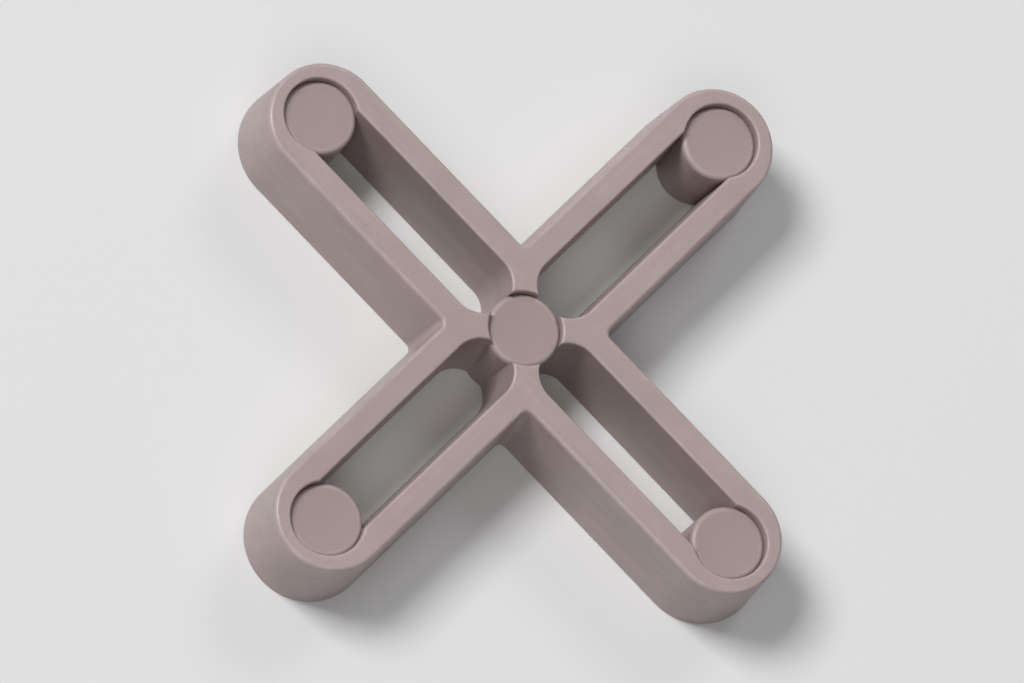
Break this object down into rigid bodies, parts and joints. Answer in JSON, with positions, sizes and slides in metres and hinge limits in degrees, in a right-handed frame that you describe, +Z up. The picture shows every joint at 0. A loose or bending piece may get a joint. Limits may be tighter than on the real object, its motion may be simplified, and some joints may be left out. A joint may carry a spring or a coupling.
{
  "type": "tile spacer",
  "caption": "Cross-shaped moulded spacer that keeps an even joint between tiles, with slotted arms and round posts in its hub and tips.",
  "frame": {"origin": "middle of the wide lower face, under the hub", "axes": "+Z up, through the hub from the wide face to the narrow one; the arms run along X and Y"},
  "size_m": [0.0274, 0.0274, 0.004],
  "materials": {
    "grey_plastic": "satin moulded plastic, warm grey"
  },
  "bodies": {
    "root": {"cross_spacer": "grey_plastic"}
  },
  "joints": []
}
